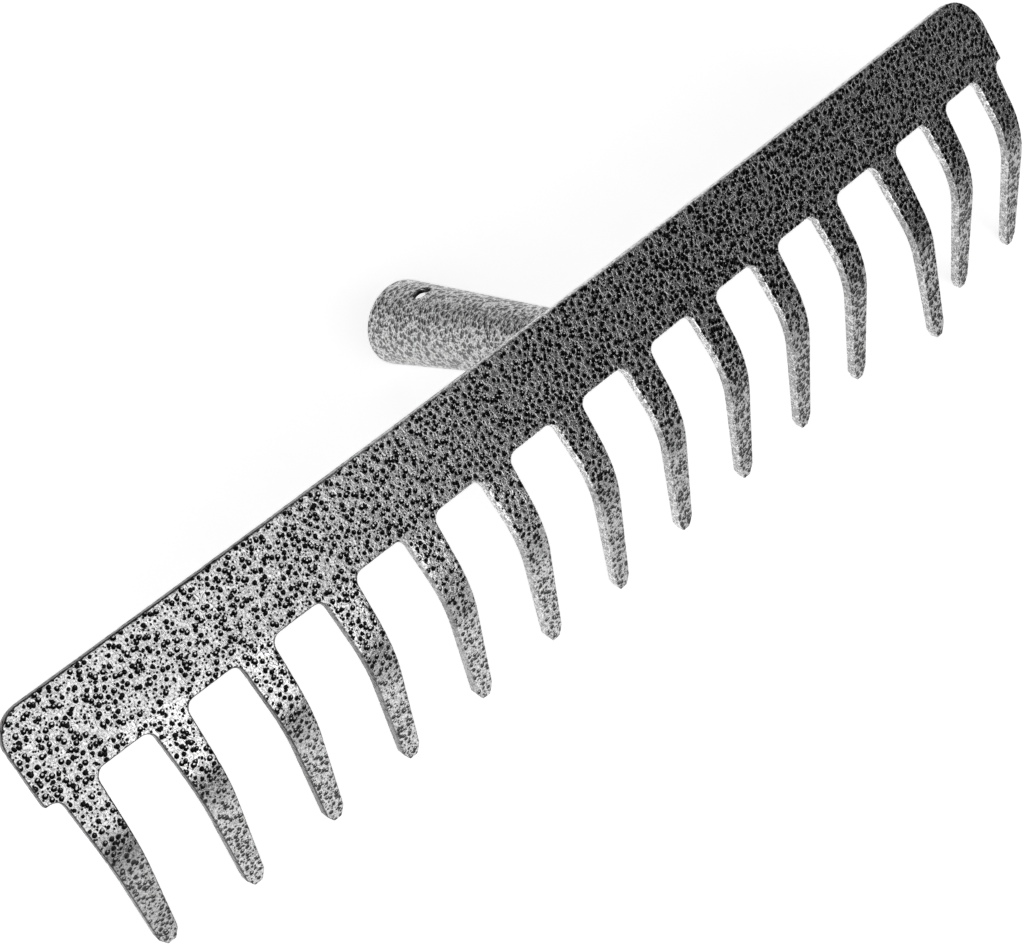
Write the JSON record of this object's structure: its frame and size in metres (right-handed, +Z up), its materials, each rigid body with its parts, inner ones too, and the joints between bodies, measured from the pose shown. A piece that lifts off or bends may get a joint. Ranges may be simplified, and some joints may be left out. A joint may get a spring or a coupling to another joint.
{
  "type": "garden rake head",
  "caption": "Garden rake head: a stamped steel blade of bent tines with a tapered handle socket welded to its back.",
  "frame": {"origin": "centre of the bounding box, at the bench that the last tine's tip and the socket's mouth rest on", "axes": "X along the blade, +Y from the tines' tips towards the socket's mouth, +Z up as the head rests"},
  "size_m": [0.3694, 0.1192, 0.077],
  "materials": {
    "head_enamel": "hammered",
    "socket_enamel": "hammered",
    "weld_enamel": "hammered"
  },
  "bodies": {
    "root": {"tined_head": "head_enamel", "socket_tube": "socket_enamel", "weld_bead": "weld_enamel"}
  },
  "joints": []
}
